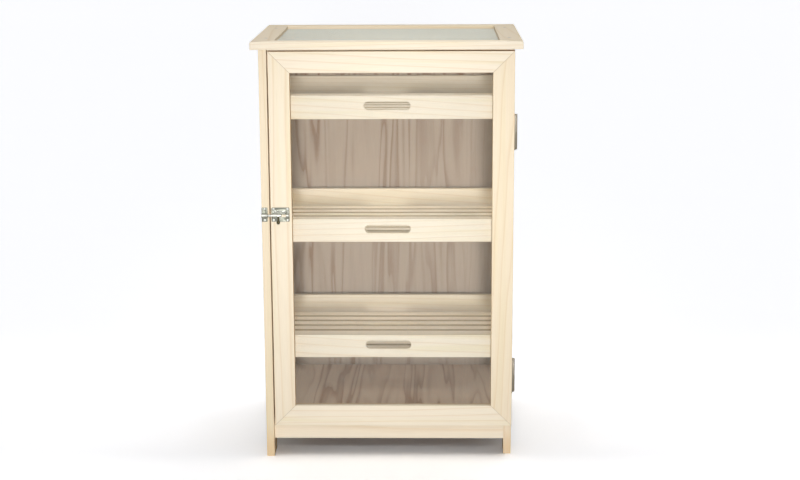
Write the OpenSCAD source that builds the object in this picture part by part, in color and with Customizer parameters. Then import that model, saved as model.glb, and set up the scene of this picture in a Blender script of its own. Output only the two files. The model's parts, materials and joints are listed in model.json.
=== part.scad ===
// Ventilated food cabinet in pine: mesh top, mesh sides, a side hinged mesh door
// with a barrel bolt, and three slatted trays that slide on side runners.
// Millimetres. X runs to the right, Y away from the front, Z up from the floor.
// The origin is on the floor, in the middle of the whole cabinet's outline.

/* [Cabinet] */
// Width of the top frame
top_w = 500; // [420:10:640]
// Depth of the top frame, front to back
top_d = 370; // [320:10:480]
// Height from the floor to the top face
cabinet_h = 796; // [660:4:960]
// How far the top frame stands out past each side
side_overhang = 15; // [5:1:30]
// How far the top frame stands out past the door's face
front_overhang = 3; // [0:0.5:15]
// Thickness of the top frame's boards
top_t = 14; // [12:1:24]
// Width of the top frame's side boards
top_side_w = 42; // [34:1:60]
// Width of the top frame's front and back boards
top_end_w = 35; // [30:1:60]
// Thickness of the posts and rails of the cabinet
post_t = 15; // [12:1:24]
// Width of the posts, front to back
post_w = 40; // [30:1:60]
// Height of the rails between the posts
rail_w = 40; // [30:1:60]
// Height of the bottom rails above the floor
leg_clear = 31; // [20:1:80]
// Thickness of the plywood back
back_t = 4; // [3:0.5:9]
// Thickness of the plywood floor
floor_t = 4; // [3:0.5:9]

/* [Door] */
// Thickness of the door frame
door_t = 15; // [12:1:24]
// Width of the door's stiles and rails
door_rail_w = 40; // [30:1:60]
// Height of the door's lower edge above the floor
door_bottom_z = 62; // [45:1:70]
// Space between the door and the top frame
door_top_gap = 3; // [1.5:0.5:6]
// Space between the door and the post on its bolt side
door_side_gap = 2; // [1:0.5:5]
// Space between the door's back and the posts behind it
door_back_gap = 1; // [0.5:0.1:3]

/* [Mesh panels] */
// Width of the step that the mesh lies in
rebate_w = 8; // [5:1:12]
// Depth of that step in the door and the sides
rebate_d = 6; // [4:0.5:8]
// Depth of that step under the top frame
top_rebate_d = 8; // [4:0.5:9]
// Thickness of the woven wire mesh
mesh_t = 0.4; // [0.3:0.1:1]

/* [Trays] */
// Height of the trays' boards
tray_h = 44; // [30:1:60]
// Thickness of the trays' boards
tray_board_t = 12; // [9:1:18]
// Height of the lowest tray above the floor panel
low_tray_space = 117; // [80:1:160]
// Height from the top tray's underside up to the top frame
high_tray_space = 131; // [80:1:160]
// How far the middle tray sits below half way
mid_tray_drop = 3.5; // [0:0.5:20]
// Space between the trays' fronts and the posts' front plane
tray_set_back = 5; // [2:0.5:20]
// Space between the trays and the back rails
tray_back_gap = 6; // [3:1:30]
// Space between a tray and each side
tray_side_gap = 1.5; // [1:0.1:4]
// Thickness of the slats
slat_t = 6; // [4:0.5:10]
// Number of slats in a tray
slat_count = 8; // [5:1:11]
// Space between two slats
slat_gap = 12; // [3:0.5:16]
// Height of the slats above the boards' lower edge
slat_lift = 4; // [2:0.5:10]
// Depth of the groove that holds the slats' ends
groove_d = 4; // [2:0.5:6]
// Length of the finger slot
slot_w = 87; // [60:1:140]
// Height of the finger slot
slot_h = 16; // [12:1:24]
// Height of the slot's middle above the boards' lower edge
slot_z = 25; // [18:1:36]
// Width of the runners that carry the trays
runner_w = 12; // [8:1:20]
// Height of the runners
runner_h = 15; // [10:1:25]

/* [Hinges] */
// Height of each hinge
hinge_h = 67; // [50:1:90]
// Distance from the door's top to the middle of the upper hinge
hinge_top_in = 151; // [60:1:200]
// Distance from the door's bottom to the middle of the lower hinge
hinge_bottom_in = 97; // [60:1:200]
// Outer radius of the hinge barrel
knuckle_r = 3; // [2.5:0.1:4]
// Radius of the hinge pin
pin_r = 1.6; // [1.2:0.1:2]
// Clearance round the pin
pin_fit = 0.06; // [0.02:0.01:0.1]
// Thickness of the hinge leaves
leaf_t = 1.2; // [0.8:0.1:2]
// Width of each hinge leaf, from the pin to its edge
leaf_w = 13.5; // [10:0.5:14]

/* [Bolt] */
// Height of the middle of the bolt plate above the floor
bolt_z = 475; // [300:5:600]
// Width of the bolt plate
plate_w = 34; // [30:1:38]
// Height of the bolt plate
plate_h = 27; // [24:1:34]
// Thickness of the plate and the keeper
plate_t = 1; // [0.8:0.1:1.5]
// Distance from the door's edge to the plate
plate_edge = 1.5; // [0.5:0.5:5]
// Radius of the sliding rod
rod_r = 2.5; // [2:0.1:3]
// Running clearance round the rod
rod_fit = 0.3; // [0.2:0.05:0.5]
// Wall of the pressed guides over the rod
guide_t = 0.9; // [0.7:0.1:1.5]
// How far the rod lies in front of the door's face
rod_out = 4.8; // [4.5:0.1:6]
// Radius of the ball at the end of the knob
knob_r = 3.4; // [2.5:0.1:3.4]
// How far the ball hangs below the rod
knob_drop = 13; // [9:0.5:18]
// Width of the keeper on the post
keeper_w = 11.5; // [8:0.5:13]
// Space between the rod's tip and the keeper at rest
tip_gap = 0.4; // [0.3:0.1:1]

/* [Fasteners] */
// Radius of the small screws' shanks
screw_r = 1.3; // [1:0.1:1.6]
// Radius of the small screws' heads
screw_head_r = 2.3; // [2:0.1:2.6]
// Length of the small screws
screw_l = 9.5; // [8:0.5:9.5]
// Radius of the top frame's screws
top_screw_r = 2; // [1.5:0.1:2.5]
// Radius of the top frame's screw heads
top_screw_head_r = 3.9; // [3:0.1:4.5]
// Length of the top frame's screws
top_screw_l = 40; // [30:1:48]
// Distance of the top frame's screws from its front and back edges
top_screw_in = 82; // [60:1:120]

/* [Finish] */
// Radius of the eased edges of the boards
arris = 1; // [0.5:0.1:2]
// Width of the joint lines at mitred corners and between beads
glue_line = 0.2; // [0.1:0.05:0.4]

/* [Hidden] */

PINE = "#f3e0c1";
PLY = "#b3916a";
MESH = "#c9cac0";
ZINC = "#b9b7ad";
DARK = "#6d6a60";

// Cuts run this far past the faces that they open
past = 1;

// The bolt stands out in front of the top frame, so the origin sits that much forward
bolt_proud = rod_out + rod_r + rod_fit + guide_t - front_overhang;
top_front_y = bolt_proud - (top_d + bolt_proud) / 2;
top_back_y = top_front_y + top_d;
top_under_z = cabinet_h - top_t;

// Planes of the cabinet's body, from front to back
door_y = top_front_y + front_overhang;
frame_y = door_y + door_t + door_back_gap;
back_y = top_back_y - back_t;

// Faces of the body's sides
side_x = top_w / 2 - side_overhang;
inner_x = side_x - post_t;
floor_z = leg_clear + rail_w + floor_t;

// Door
door_x = -inner_x + door_side_gap;
door_w = side_x - door_x;
door_top_z = top_under_z - door_top_gap;
door_h = door_top_z - door_bottom_z;

// Side frames, between the posts
side_open_y = frame_y + post_w;
side_open_d = back_y - post_w - side_open_y;
side_open_z = leg_clear + rail_w;
side_open_h = top_under_z - rail_w - side_open_z;

// Trays, numbered from the top
tray_low_z = floor_z + low_tray_space;
tray_high_z = top_under_z - high_tray_space;
tray_mid_z = (tray_low_z + tray_high_z) / 2 - mid_tray_drop;
tray_z = [tray_high_z, tray_mid_z, tray_low_z];
tray_x = inner_x - tray_side_gap;
tray_front_y = frame_y + tray_set_back;
tray_back_y = back_y - post_t - tray_back_gap;
tray_inner_x = tray_x - tray_board_t;
tray_inner_y = tray_front_y + tray_board_t;
tray_inner_d = tray_back_y - tray_board_t - tray_inner_y;
slat_w = (tray_inner_d - (slat_count + 1) * slat_gap) / slat_count;

// Hinges: the pin stands at the door's back, just outside the side
hinge_x = side_x + knuckle_r;
hinge_y = door_y + door_t + door_back_gap / 2;
hinge_zs = [door_bottom_z + hinge_bottom_in, door_top_z - hinge_top_in];
hinge_clear = 0.3;
hinge_screw_y = leaf_w - 4.5;
hinge_screw_zs = [-24, 0, 24];
pin_reach = hinge_h / 2 - knuckle_r - 3;

// Bolt: distances along the plate are measured from its left edge
plate_x = door_x + plate_edge;
rod_z = bolt_z - 1.2;
keeper_x = -side_x;
keeper_h = 27;
guide_1 = [1.5, 11];
guide_2 = [28, 33];
stem_x = 13;
stem_r = 1.3;
stem_travel = 8.5;
rod_tail = 18.5;
plate_screw_x = 4;
plate_screw_z = 10.6;
keeper_screw_z = 10.6;

// Small screws are long enough for the boards and never come out behind
screw_head_h = 1.2;
top_screw_head_h = 2.6;
top_screw_x = side_x - post_t / 2;

// Rectangle with rounded corners, from the origin
module eased(w, h, r) {
    translate([r, 0]) square([w - 2 * r, h]);
    translate([0, r]) square([w, h - 2 * r]);
    for (x = [r, w - r], y = [r, h - r])
        translate([x, y]) circle(r, $fn = 24);
}

// Board with eased long edges: size along X, Y and Z, lying along "along" (0, 1 or 2)
module board(size, along) {
    if (along == 0)
        rotate([90, 0, 90]) linear_extrude(size[0]) eased(size[1], size[2], arris);
    else if (along == 1)
        mirror([0, 1, 0]) rotate([90, 0, 0])
            linear_extrude(size[1]) eased(size[0], size[2], arris);
    else
        linear_extrude(size[2]) eased(size[0], size[1], arris);
}

// Frame board along X: outer edge on y = 0, inside face on z = 0, mitred at both ends,
// with a step for the mesh along its inner edge
module mitred_board(length, width, thick, step_d, end_w) {
    inset = glue_line / 2;
    slope = end_w / width;
    difference() {
        intersection() {
            board([length, width, thick], 0);
            linear_extrude(thick) polygon([
                [inset, 0], [length - inset, 0],
                [length - inset - slope * width, width], [inset + slope * width, width]]);
        }
        translate([-past, width - rebate_w, -past])
            cube([length + 2 * past, rebate_w + past, step_d + past]);
    }
}

// Four beads that hold a mesh into its step, round an opening of w by h
module beads(w, h, step_d) {
    reach = rebate_w - 0.3;
    deep = step_d - mesh_t;
    for (side = [0, 1]) {
        translate([-reach, side * (h + reach) - reach, 0])
            board([w + 2 * reach, reach, deep], 0);
        translate([side * (w + reach) - reach, glue_line, 0])
            board([reach, h - 2 * glue_line, deep], 1);
    }
}

// Mesh panel that fills the step round an opening of w by h
module mesh_sheet(w, h, step_d) {
    reach = rebate_w - 0.3;
    translate([-reach, -reach, step_d - mesh_t])
        cube([w + 2 * reach, h + 2 * reach, mesh_t]);
}

// Countersunk screw, its head's face on z = 0 and its point downwards
module screw(r, head_r, head_h, length) {
    translate([0, 0, -head_h]) cylinder(h = head_h, r1 = r, r2 = head_r, $fn = 32);
    translate([0, 0, -length + r]) cylinder(h = length - r - head_h, r = r, $fn = 32);
    translate([0, 0, -length]) cylinder(h = r, r1 = 0.2, r2 = r, $fn = 32);
}

// Room for that screw
module screw_hole(r, head_r, head_h, length) {
    screw(r, head_r, head_h, length);
    cylinder(h = past, r = head_r, $fn = 32);
}

module small_screw() {
    screw(screw_r, screw_head_r, screw_head_h, screw_l);
}

module small_screw_hole() {
    screw_hole(screw_r, screw_head_r, screw_head_h, screw_l);
}

// Places: the door's frame and openings stand in the XZ plane, face to the front
module on_door(x, z) {
    translate([x, door_y + door_t, z]) rotate([90, 0, 0]) children();
}

// Right side frame: local x runs back, y up and z outwards
module on_right_side(y, z) {
    translate([inner_x, y, z]) rotate([90, 0, 90]) children();
}

module on_side(side, y, z) {
    if (side > 0)
        on_right_side(y, z) children();
    else
        mirror([1, 0, 0]) on_right_side(y, z) children();
}

module at_top_screws() {
    for (x = [-top_screw_x, top_screw_x],
            y = [top_front_y + top_screw_in, top_back_y - top_screw_in])
        translate([x, y, cabinet_h]) children();
}

// side is -1 for the leaf on the door and 1 for the leaf on the post
module at_hinge_screws(side) {
    for (z = hinge_zs, dz = hinge_screw_zs)
        translate([side_x + leaf_t, hinge_y + side * hinge_screw_y, z + dz])
            rotate([0, 90, 0]) children();
}

module at_bolt_screws() {
    for (x = [plate_screw_x, plate_w - plate_screw_x], z = [-plate_screw_z, plate_screw_z])
        translate([plate_x + x, door_y - plate_t, bolt_z + z])
            rotate([90, 0, 0]) children();
}

module at_keeper_screws() {
    for (z = [-keeper_screw_z, keeper_screw_z])
        translate([keeper_x + keeper_w / 2, door_y - plate_t, bolt_z + z])
            rotate([90, 0, 0]) children();
}

// Post with the step for the side mesh; the left front one reaches the door's face
module post(side, front, forward) {
    y = front ? frame_y - forward : back_y - post_w;
    depth = post_w + (front ? forward : 0);
    difference() {
        translate([side > 0 ? inner_x : -side_x, y, 0])
            board([post_t, depth, top_under_z], 2);
        on_side(side, side_open_y - rebate_w, side_open_z - rebate_w)
            translate([0, 0, -past])
            cube([side_open_d + 2 * rebate_w, side_open_h + 2 * rebate_w,
                rebate_d + past]);
        at_hinge_screws(1) small_screw_hole();
        at_keeper_screws() small_screw_hole();
    }
}

module post_front_left() {
    color(PINE) post(-1, true, door_t + door_back_gap);
}

module post_front_right() {
    color(PINE) post(1, true, 0);
}

module post_back_left() {
    color(PINE) post(-1, false, 0);
}

module post_back_right() {
    color(PINE) post(1, false, 0);
}

// Rail of a side frame, between its posts, with the step for the mesh
module side_rail(side, top) {
    z = top ? top_under_z - rail_w : leg_clear;
    step_z = top ? -past : rail_w - rebate_w;
    color(PINE) difference() {
        on_side(side, side_open_y, z) board([side_open_d, rail_w, post_t], 0);
        on_side(side, side_open_y - past, z + step_z)
            translate([0, 0, -past])
            cube([side_open_d + 2 * past, rebate_w + past, rebate_d + past]);
        if (top)
            at_top_screws() screw(top_screw_r, top_screw_head_r, top_screw_head_h,
                top_screw_l);
    }
}

module side_rail_top_left() {
    side_rail(-1, true);
}

module side_rail_top_right() {
    side_rail(1, true);
}

module side_rail_bottom_left() {
    side_rail(-1, false);
}

module side_rail_bottom_right() {
    side_rail(1, false);
}

module side_mesh(side) {
    color(MESH) on_side(side, side_open_y, side_open_z)
        mesh_sheet(side_open_d, side_open_h, rebate_d);
}

module side_mesh_left() {
    side_mesh(-1);
}

module side_mesh_right() {
    side_mesh(1);
}

// Rail between the two sides, its front face on y and its lower edge on z
module cross_rail(y, z) {
    color(PINE) translate([-inner_x, y, z]) board([2 * inner_x, post_t, rail_w], 0);
}

module rail_front_top() {
    cross_rail(frame_y, top_under_z - rail_w);
}

module rail_front_bottom() {
    cross_rail(frame_y, leg_clear);
}

module rail_back_top() {
    cross_rail(back_y - post_t, top_under_z - rail_w);
}

module rail_back_bottom() {
    cross_rail(back_y - post_t, leg_clear);
}

module back_panel() {
    color(PLY) translate([-side_x, back_y, leg_clear])
        cube([2 * side_x, back_t, top_under_z - leg_clear]);
}

module floor_panel() {
    color(PLY) translate([-inner_x, frame_y, leg_clear + rail_w])
        cube([2 * inner_x, back_y - frame_y, floor_t]);
}

// Runner under one side of a tray, fixed to the inner faces of two posts
module runner(index, side) {
    color(PINE) translate([side > 0 ? inner_x - runner_w : -inner_x, frame_y + 1,
            tray_z[index] - runner_h])
        board([runner_w, back_y - post_t - frame_y - 2, runner_h], 1);
}

module runner_1_left() {
    runner(0, -1);
}

module runner_1_right() {
    runner(0, 1);
}

module runner_2_left() {
    runner(1, -1);
}

module runner_2_right() {
    runner(1, 1);
}

module runner_3_left() {
    runner(2, -1);
}

module runner_3_right() {
    runner(2, 1);
}

// Boards of the top frame: local x and y lie as seen from above
module top_board(length, width, end_w) {
    color(PINE) mitred_board(length, width, top_t, top_rebate_d, end_w);
}

module top_rail_front() {
    translate([-top_w / 2, top_front_y, top_under_z])
        top_board(top_w, top_end_w, top_side_w);
}

module top_rail_back() {
    translate([top_w / 2, top_back_y, top_under_z]) rotate([0, 0, 180])
        top_board(top_w, top_end_w, top_side_w);
}

module top_rail_left() {
    difference() {
        translate([-top_w / 2, top_back_y, top_under_z]) rotate([0, 0, -90])
            top_board(top_d, top_side_w, top_end_w);
        at_top_screws() screw_hole(top_screw_r, top_screw_head_r, top_screw_head_h,
            top_screw_l);
    }
}

module top_rail_right() {
    difference() {
        translate([top_w / 2, top_front_y, top_under_z]) rotate([0, 0, 90])
            top_board(top_d, top_side_w, top_end_w);
        at_top_screws() screw_hole(top_screw_r, top_screw_head_r, top_screw_head_h,
            top_screw_l);
    }
}

module top_mesh() {
    color(MESH) translate([-top_w / 2 + top_side_w, top_front_y + top_end_w, top_under_z])
        mesh_sheet(top_w - 2 * top_side_w, top_d - 2 * top_end_w, top_rebate_d);
}

module top_screws() {
    color(ZINC) at_top_screws() screw(top_screw_r, top_screw_head_r, top_screw_head_h,
        top_screw_l);
}

// Beads behind the mesh of the top and of both sides
module cabinet_beads() {
    color(PINE) {
        translate([-top_w / 2 + top_side_w, top_front_y + top_end_w, top_under_z])
            beads(top_w - 2 * top_side_w, top_d - 2 * top_end_w, top_rebate_d);
        for (side = [-1, 1])
            on_side(side, side_open_y, side_open_z)
                beads(side_open_d, side_open_h, rebate_d);
    }
}

// Door frame boards
module door_board(length) {
    color(PINE) mitred_board(length, door_rail_w, door_t, rebate_d, door_rail_w);
}

module door_stile_left() {
    difference() {
        on_door(door_x, door_bottom_z)
            translate([0, door_h, 0]) rotate([0, 0, -90]) door_board(door_h);
        at_bolt_screws() small_screw_hole();
    }
}

module door_stile_right() {
    difference() {
        on_door(door_x, door_bottom_z)
            translate([door_w, 0, 0]) rotate([0, 0, 90]) door_board(door_h);
        at_hinge_screws(-1) small_screw_hole();
    }
}

module door_rail_top() {
    on_door(door_x, door_bottom_z)
        translate([door_w, door_h, 0]) rotate([0, 0, 180]) door_board(door_w);
}

module door_rail_bottom() {
    on_door(door_x, door_bottom_z) door_board(door_w);
}

module door_mesh() {
    color(MESH) on_door(door_x + door_rail_w, door_bottom_z + door_rail_w)
        mesh_sheet(door_w - 2 * door_rail_w, door_h - 2 * door_rail_w, rebate_d);
}

module door_beads() {
    color(PINE) on_door(door_x + door_rail_w, door_bottom_z + door_rail_w)
        beads(door_w - 2 * door_rail_w, door_h - 2 * door_rail_w, rebate_d);
}

// Leaf on the side of the door (-1) or of the post (1). It is cut back beside the
// other leaf's barrel.
module hinge_leaf(side) {
    barrel_z = side > 0 ? -hinge_h / 2 : hinge_clear / 2;
    barrel_h = (hinge_h - hinge_clear) / 2;
    near = knuckle_r + hinge_clear;
    mirror([0, side > 0 ? 0 : 1, 0]) {
        translate([-knuckle_r, near, -hinge_h / 2])
            cube([leaf_t, leaf_w - near, hinge_h]);
        translate([-knuckle_r, 0, barrel_z])
            cube([leaf_t, leaf_w, barrel_h]);
    }
    translate([0, 0, barrel_z]) cylinder(h = barrel_h, r = knuckle_r, $fn = 48);
}

// The pin is fast in the lower barrel, and the door's barrels lift off it
module hinge_leaves_cabinet() {
    color(ZINC) difference() {
        for (z = hinge_zs)
            translate([hinge_x, hinge_y, z]) {
                hinge_leaf(1);
                translate([0, 0, -pin_reach])
                    cylinder(h = 2 * pin_reach, r = pin_r, $fn = 32);
            }
        at_hinge_screws(1) small_screw_hole();
    }
}

module hinge_leaves_door() {
    color(ZINC) difference() {
        for (z = hinge_zs)
            translate([hinge_x, hinge_y, z]) difference() {
                hinge_leaf(-1);
                cylinder(h = pin_reach + 0.5, r = pin_r + pin_fit, $fn = 32);
            }
        at_hinge_screws(-1) small_screw_hole();
    }
}

module hinge_screws_cabinet() {
    color(ZINC) at_hinge_screws(1) small_screw();
}

module hinge_screws_door() {
    color(ZINC) at_hinge_screws(-1) small_screw();
}

// Guide pressed up over the rod, from x0 to x1, with its feet on the plate
module guide(x0, x1) {
    inner = rod_r + rod_fit;
    outer = inner + guide_t;
    rotate([90, 0, 90]) translate([0, 0, x0]) linear_extrude(x1 - x0) difference() {
        union() {
            circle(outer, $fn = 48);
            translate([0, -outer]) square([rod_out, 2 * outer]);
        }
        circle(inner, $fn = 48);
        translate([0, -inner]) square([rod_out + past, 2 * inner]);
    }
}

module bolt_plate() {
    color(ZINC) difference() {
        union() {
            translate([plate_x, door_y - plate_t, bolt_z - plate_h / 2])
                cube([plate_w, plate_t, plate_h]);
            translate([plate_x, door_y - rod_out, rod_z]) difference() {
                for (g = [guide_1, guide_2])
                    guide(g[0], g[1]);
                translate([stem_x - stem_travel, -rod_r, -knob_drop])
                    cube([guide_1[1] - stem_x + stem_travel + past, 2 * rod_r, knob_drop]);
            }
        }
        at_bolt_screws() small_screw_hole();
    }
}

module bolt_screws() {
    color(ZINC) at_bolt_screws() small_screw();
}

// Rod, stem and ball in one piece; the tip stops just short of the keeper
module bolt_rod() {
    tip_x = keeper_x + keeper_w + tip_gap;
    color(DARK) translate([0, door_y - rod_out, rod_z]) {
        translate([tip_x, 0, 0]) rotate([0, 90, 0])
            cylinder(h = plate_x + rod_tail - tip_x, r = rod_r, $fn = 48);
        translate([plate_x + stem_x, 0, -knob_drop])
            cylinder(h = knob_drop, r = stem_r, $fn = 32);
        translate([plate_x + stem_x, 0, -knob_drop]) sphere(knob_r, $fn = 48);
    }
}

module keeper() {
    color(ZINC) difference() {
        union() {
            translate([keeper_x, door_y - plate_t, bolt_z - keeper_h / 2])
                cube([keeper_w, plate_t, keeper_h]);
            translate([keeper_x, door_y - rod_out, rod_z]) guide(0, keeper_w);
        }
        at_keeper_screws() small_screw_hole();
    }
}

module keeper_screws() {
    color(ZINC) at_keeper_screws() small_screw();
}

// Trays: index 0 is the top one
module tray_end(index, y, slotted) {
    color(PINE) difference() {
        translate([-tray_x, y, tray_z[index]])
            board([2 * tray_x, tray_board_t, tray_h], 0);
        if (slotted)
            translate([0, y - past, tray_z[index] + slot_z]) rotate([-90, 0, 0])
                linear_extrude(tray_board_t + 2 * past) {
                    square([slot_w - slot_h, slot_h], center = true);
                    for (x = [-1, 1])
                        translate([x * (slot_w - slot_h) / 2, 0])
                            circle(slot_h / 2, $fn = 48);
                }
    }
}

module tray_side(index, side) {
    color(PINE) difference() {
        translate([side > 0 ? tray_inner_x : -tray_x, tray_inner_y, tray_z[index]])
            board([tray_board_t, tray_inner_d, tray_h], 1);
        translate([side > 0 ? tray_inner_x - past : -tray_inner_x - groove_d,
                tray_inner_y - past, tray_z[index] + slat_lift])
            cube([groove_d + past, tray_inner_d + 2 * past, slat_t]);
    }
}

module tray_slats(index) {
    color(PINE) for (i = [0:slat_count - 1])
        translate([-tray_inner_x - groove_d,
                tray_inner_y + slat_gap + i * (slat_w + slat_gap),
                tray_z[index] + slat_lift])
            board([2 * (tray_inner_x + groove_d), slat_w, slat_t], 0);
}

module tray_1_front() {
    tray_end(0, tray_front_y, true);
}

module tray_1_back() {
    tray_end(0, tray_back_y - tray_board_t, false);
}

module tray_1_left() {
    tray_side(0, -1);
}

module tray_1_right() {
    tray_side(0, 1);
}

module tray_1_slats() {
    tray_slats(0);
}

module tray_2_front() {
    tray_end(1, tray_front_y, true);
}

module tray_2_back() {
    tray_end(1, tray_back_y - tray_board_t, false);
}

module tray_2_left() {
    tray_side(1, -1);
}

module tray_2_right() {
    tray_side(1, 1);
}

module tray_2_slats() {
    tray_slats(1);
}

module tray_3_front() {
    tray_end(2, tray_front_y, true);
}

module tray_3_back() {
    tray_end(2, tray_back_y - tray_board_t, false);
}

module tray_3_left() {
    tray_side(2, -1);
}

module tray_3_right() {
    tray_side(2, 1);
}

module tray_3_slats() {
    tray_slats(2);
}

post_front_left();
post_front_right();
post_back_left();
post_back_right();
side_rail_top_left();
side_rail_top_right();
side_rail_bottom_left();
side_rail_bottom_right();
side_mesh_left();
side_mesh_right();
rail_front_top();
rail_front_bottom();
rail_back_top();
rail_back_bottom();
back_panel();
floor_panel();
runner_1_left();
runner_1_right();
runner_2_left();
runner_2_right();
runner_3_left();
runner_3_right();
top_rail_front();
top_rail_back();
top_rail_left();
top_rail_right();
top_mesh();
top_screws();
cabinet_beads();
hinge_leaves_cabinet();
hinge_screws_cabinet();
keeper();
keeper_screws();
door_stile_left();
door_stile_right();
door_rail_top();
door_rail_bottom();
door_mesh();
door_beads();
hinge_leaves_door();
hinge_screws_door();
bolt_plate();
bolt_screws();
bolt_rod();
tray_1_front();
tray_1_back();
tray_1_left();
tray_1_right();
tray_1_slats();
tray_2_front();
tray_2_back();
tray_2_left();
tray_2_right();
tray_2_slats();
tray_3_front();
tray_3_back();
tray_3_left();
tray_3_right();
tray_3_slats();
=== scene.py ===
"""Looks of a ventilated food cabinet in pine: mesh door, mesh top and sides, three slatted trays."""
import json
import math
import random

import bmesh
import bpy
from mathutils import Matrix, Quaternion, Vector


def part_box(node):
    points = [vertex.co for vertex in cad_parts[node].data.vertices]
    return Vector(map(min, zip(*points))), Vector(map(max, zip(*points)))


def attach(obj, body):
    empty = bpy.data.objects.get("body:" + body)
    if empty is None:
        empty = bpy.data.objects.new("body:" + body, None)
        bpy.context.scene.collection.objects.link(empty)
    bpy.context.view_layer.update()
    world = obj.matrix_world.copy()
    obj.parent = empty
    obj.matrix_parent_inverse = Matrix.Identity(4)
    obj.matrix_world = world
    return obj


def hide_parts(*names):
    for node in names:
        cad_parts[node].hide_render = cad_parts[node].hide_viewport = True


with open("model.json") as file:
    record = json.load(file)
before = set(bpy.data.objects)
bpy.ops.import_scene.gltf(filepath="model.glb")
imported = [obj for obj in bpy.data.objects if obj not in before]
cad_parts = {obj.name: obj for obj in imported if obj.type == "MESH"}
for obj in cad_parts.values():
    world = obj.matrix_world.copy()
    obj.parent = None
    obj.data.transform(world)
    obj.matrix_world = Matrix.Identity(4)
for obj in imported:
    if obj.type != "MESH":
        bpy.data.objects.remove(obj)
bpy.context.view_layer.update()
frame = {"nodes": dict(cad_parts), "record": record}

MM = 0.001
AXES = "XYZ"
NODES = frame["nodes"]
SHARP = math.radians(30)         # an edge that turns by more than this counts as sharp

# Camera, in millimetres in the cabinet's own frame: where it stands and the point it looks at
CAMERA_AT = (83.0, -3182.0, 1086.6)
CAMERA_AIM = (23.3, -179.2, 426.3)
CAMERA_ROLL = -0.27
CAMERA_LENS = 74.0

# Fine screens, in millimetres: thread spacing, thread width, and how far a thread wanders. The real weave,
# with about a thread to the millimetre, is too fine to show, so it is drawn a little coarser
SCREEN_PITCH = 1.4
SCREEN_WIRE = 0.11
SCREEN_WANDER = 0.5

# Hardware sizes in millimetres, the same as the pieces they stand for
ROD_R = 2.5
ROD_FIT = 0.3
GUIDE_T = 0.9
PLATE_T = 1.0
STEM_R = 1.3
KNOB_R = 3.4
PIN_R = 1.6
PIN_FIT = 0.06
KNUCKLE_R = 3.0
LEAF_T = 1.2
HINGE_H = 67.0
HINGE_CLEAR = 0.3
HINGE_SCREW_STEP = 24.0          # from one screw of a hinge leaf to the next
HINGE_SCREW_IN = 4.5             # from the leaf's edge to its screws
BOLT_SCREW_UP = 10.6             # screws of the bolt and the keeper, above and below their middle
PLATE_SCREW_IN = 4.0             # from the ends of the bolt's plate to its screws
HOLE_R = 2.45                    # screw holes in the hardware
PLATE_CORNER = 2.2
KEEPER_CORNER = 1.8
LEAF_CORNER = 3.0
BARREL_ROUND = 2.0
PIN_SHORT = 3.0                  # a pin ends this far, and a barrel's radius, before the barrel's end
COLLAR_DOWN = 4.2                # collar on the ball's stem, under the rod's middle
COLLAR_H = 1.6
COLLAR_WIDER = 0.7               # its radius beyond the stem's

# Along the bolt's plate, in millimetres from its left end
NEAR_GUIDE = (1.5, 11.0)
STEM_WAY = (4.5, 12.0)           # where the near guide is open for the ball's stem
STEM_AT = 13.0
ROD_END = 18.5
WINDOW = (19.0, 27.4)
WINDOW_Z = (-3.6, 1.4)           # the window's lower and upper edge, from the rod's middle
FAR_GUIDE = (28.0, 33.0)
LONG_RIMS = ((8.2, 10.5), (21.0, 12.0))   # middle and length of both long raised rims
LONG_RIM_SIZE = (4.8, 0.6)       # their height and thickness
SHORT_RIM_IN = 2.9               # middle of the short rim, from the plate's right end
SHORT_RIM_SIZE = (4.2, 4.0, 0.5)     # its length, height and thickness
RIM_UP = 6.2                     # all rims, above the rod's middle
SLOT_IN = 1.6                    # slots in the long rims, in from the rims' ends
SLOT_HALF = 1.0                  # half the slots' height
SLOT_DEEP = 0.5

# Screws: radius and height of the head, radius of the shank, whole length, in millimetres
SMALL_SCREW = (2.3, 1.2, 1.3, 9.5)
LARGE_SCREW = (3.9, 2.6, 2.0, 40.0)
LARGE_SINK = 0.4                 # rims of the large heads lie this deep: their domes end level with the wood


# ---------------------------------------------------------------- modelling

def let_go():
    """Leaves edit mode, with nothing selected."""
    if bpy.context.object and bpy.context.object.mode != "OBJECT":
        bpy.ops.object.mode_set(mode="OBJECT")
    bpy.ops.object.select_all(action="DESELECT")


def take(piece):
    """Makes the piece the only selected object."""
    let_go()
    piece.select_set(True)
    bpy.context.view_layer.objects.active = piece
    return piece


def settle(name):
    """Names the new primitive and puts its place into its mesh."""
    piece = bpy.context.object
    piece.name = piece.data.name = name
    bpy.ops.object.transform_apply(location=True, rotation=True, scale=True)
    return piece


def block(name, low, high):
    """Rectangular blank between two corners, in millimetres."""
    let_go()
    low, high = Vector(low) * MM, Vector(high) * MM
    bpy.ops.mesh.primitive_cube_add(size=1, location=(low + high) / 2, scale=high - low)
    return settle(name)


def bar(name, middle, axis, length, radius, sides=32):
    """Round blank along axis X, Y or Z, in millimetres."""
    let_go()
    turn = {"X": (0, math.pi / 2, 0), "Y": (math.pi / 2, 0, 0), "Z": (0, 0, 0)}[axis]
    bpy.ops.mesh.primitive_cylinder_add(
        vertices=sides, radius=radius * MM, depth=length * MM,
        location=Vector(middle) * MM, rotation=turn)
    return settle(name)


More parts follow.
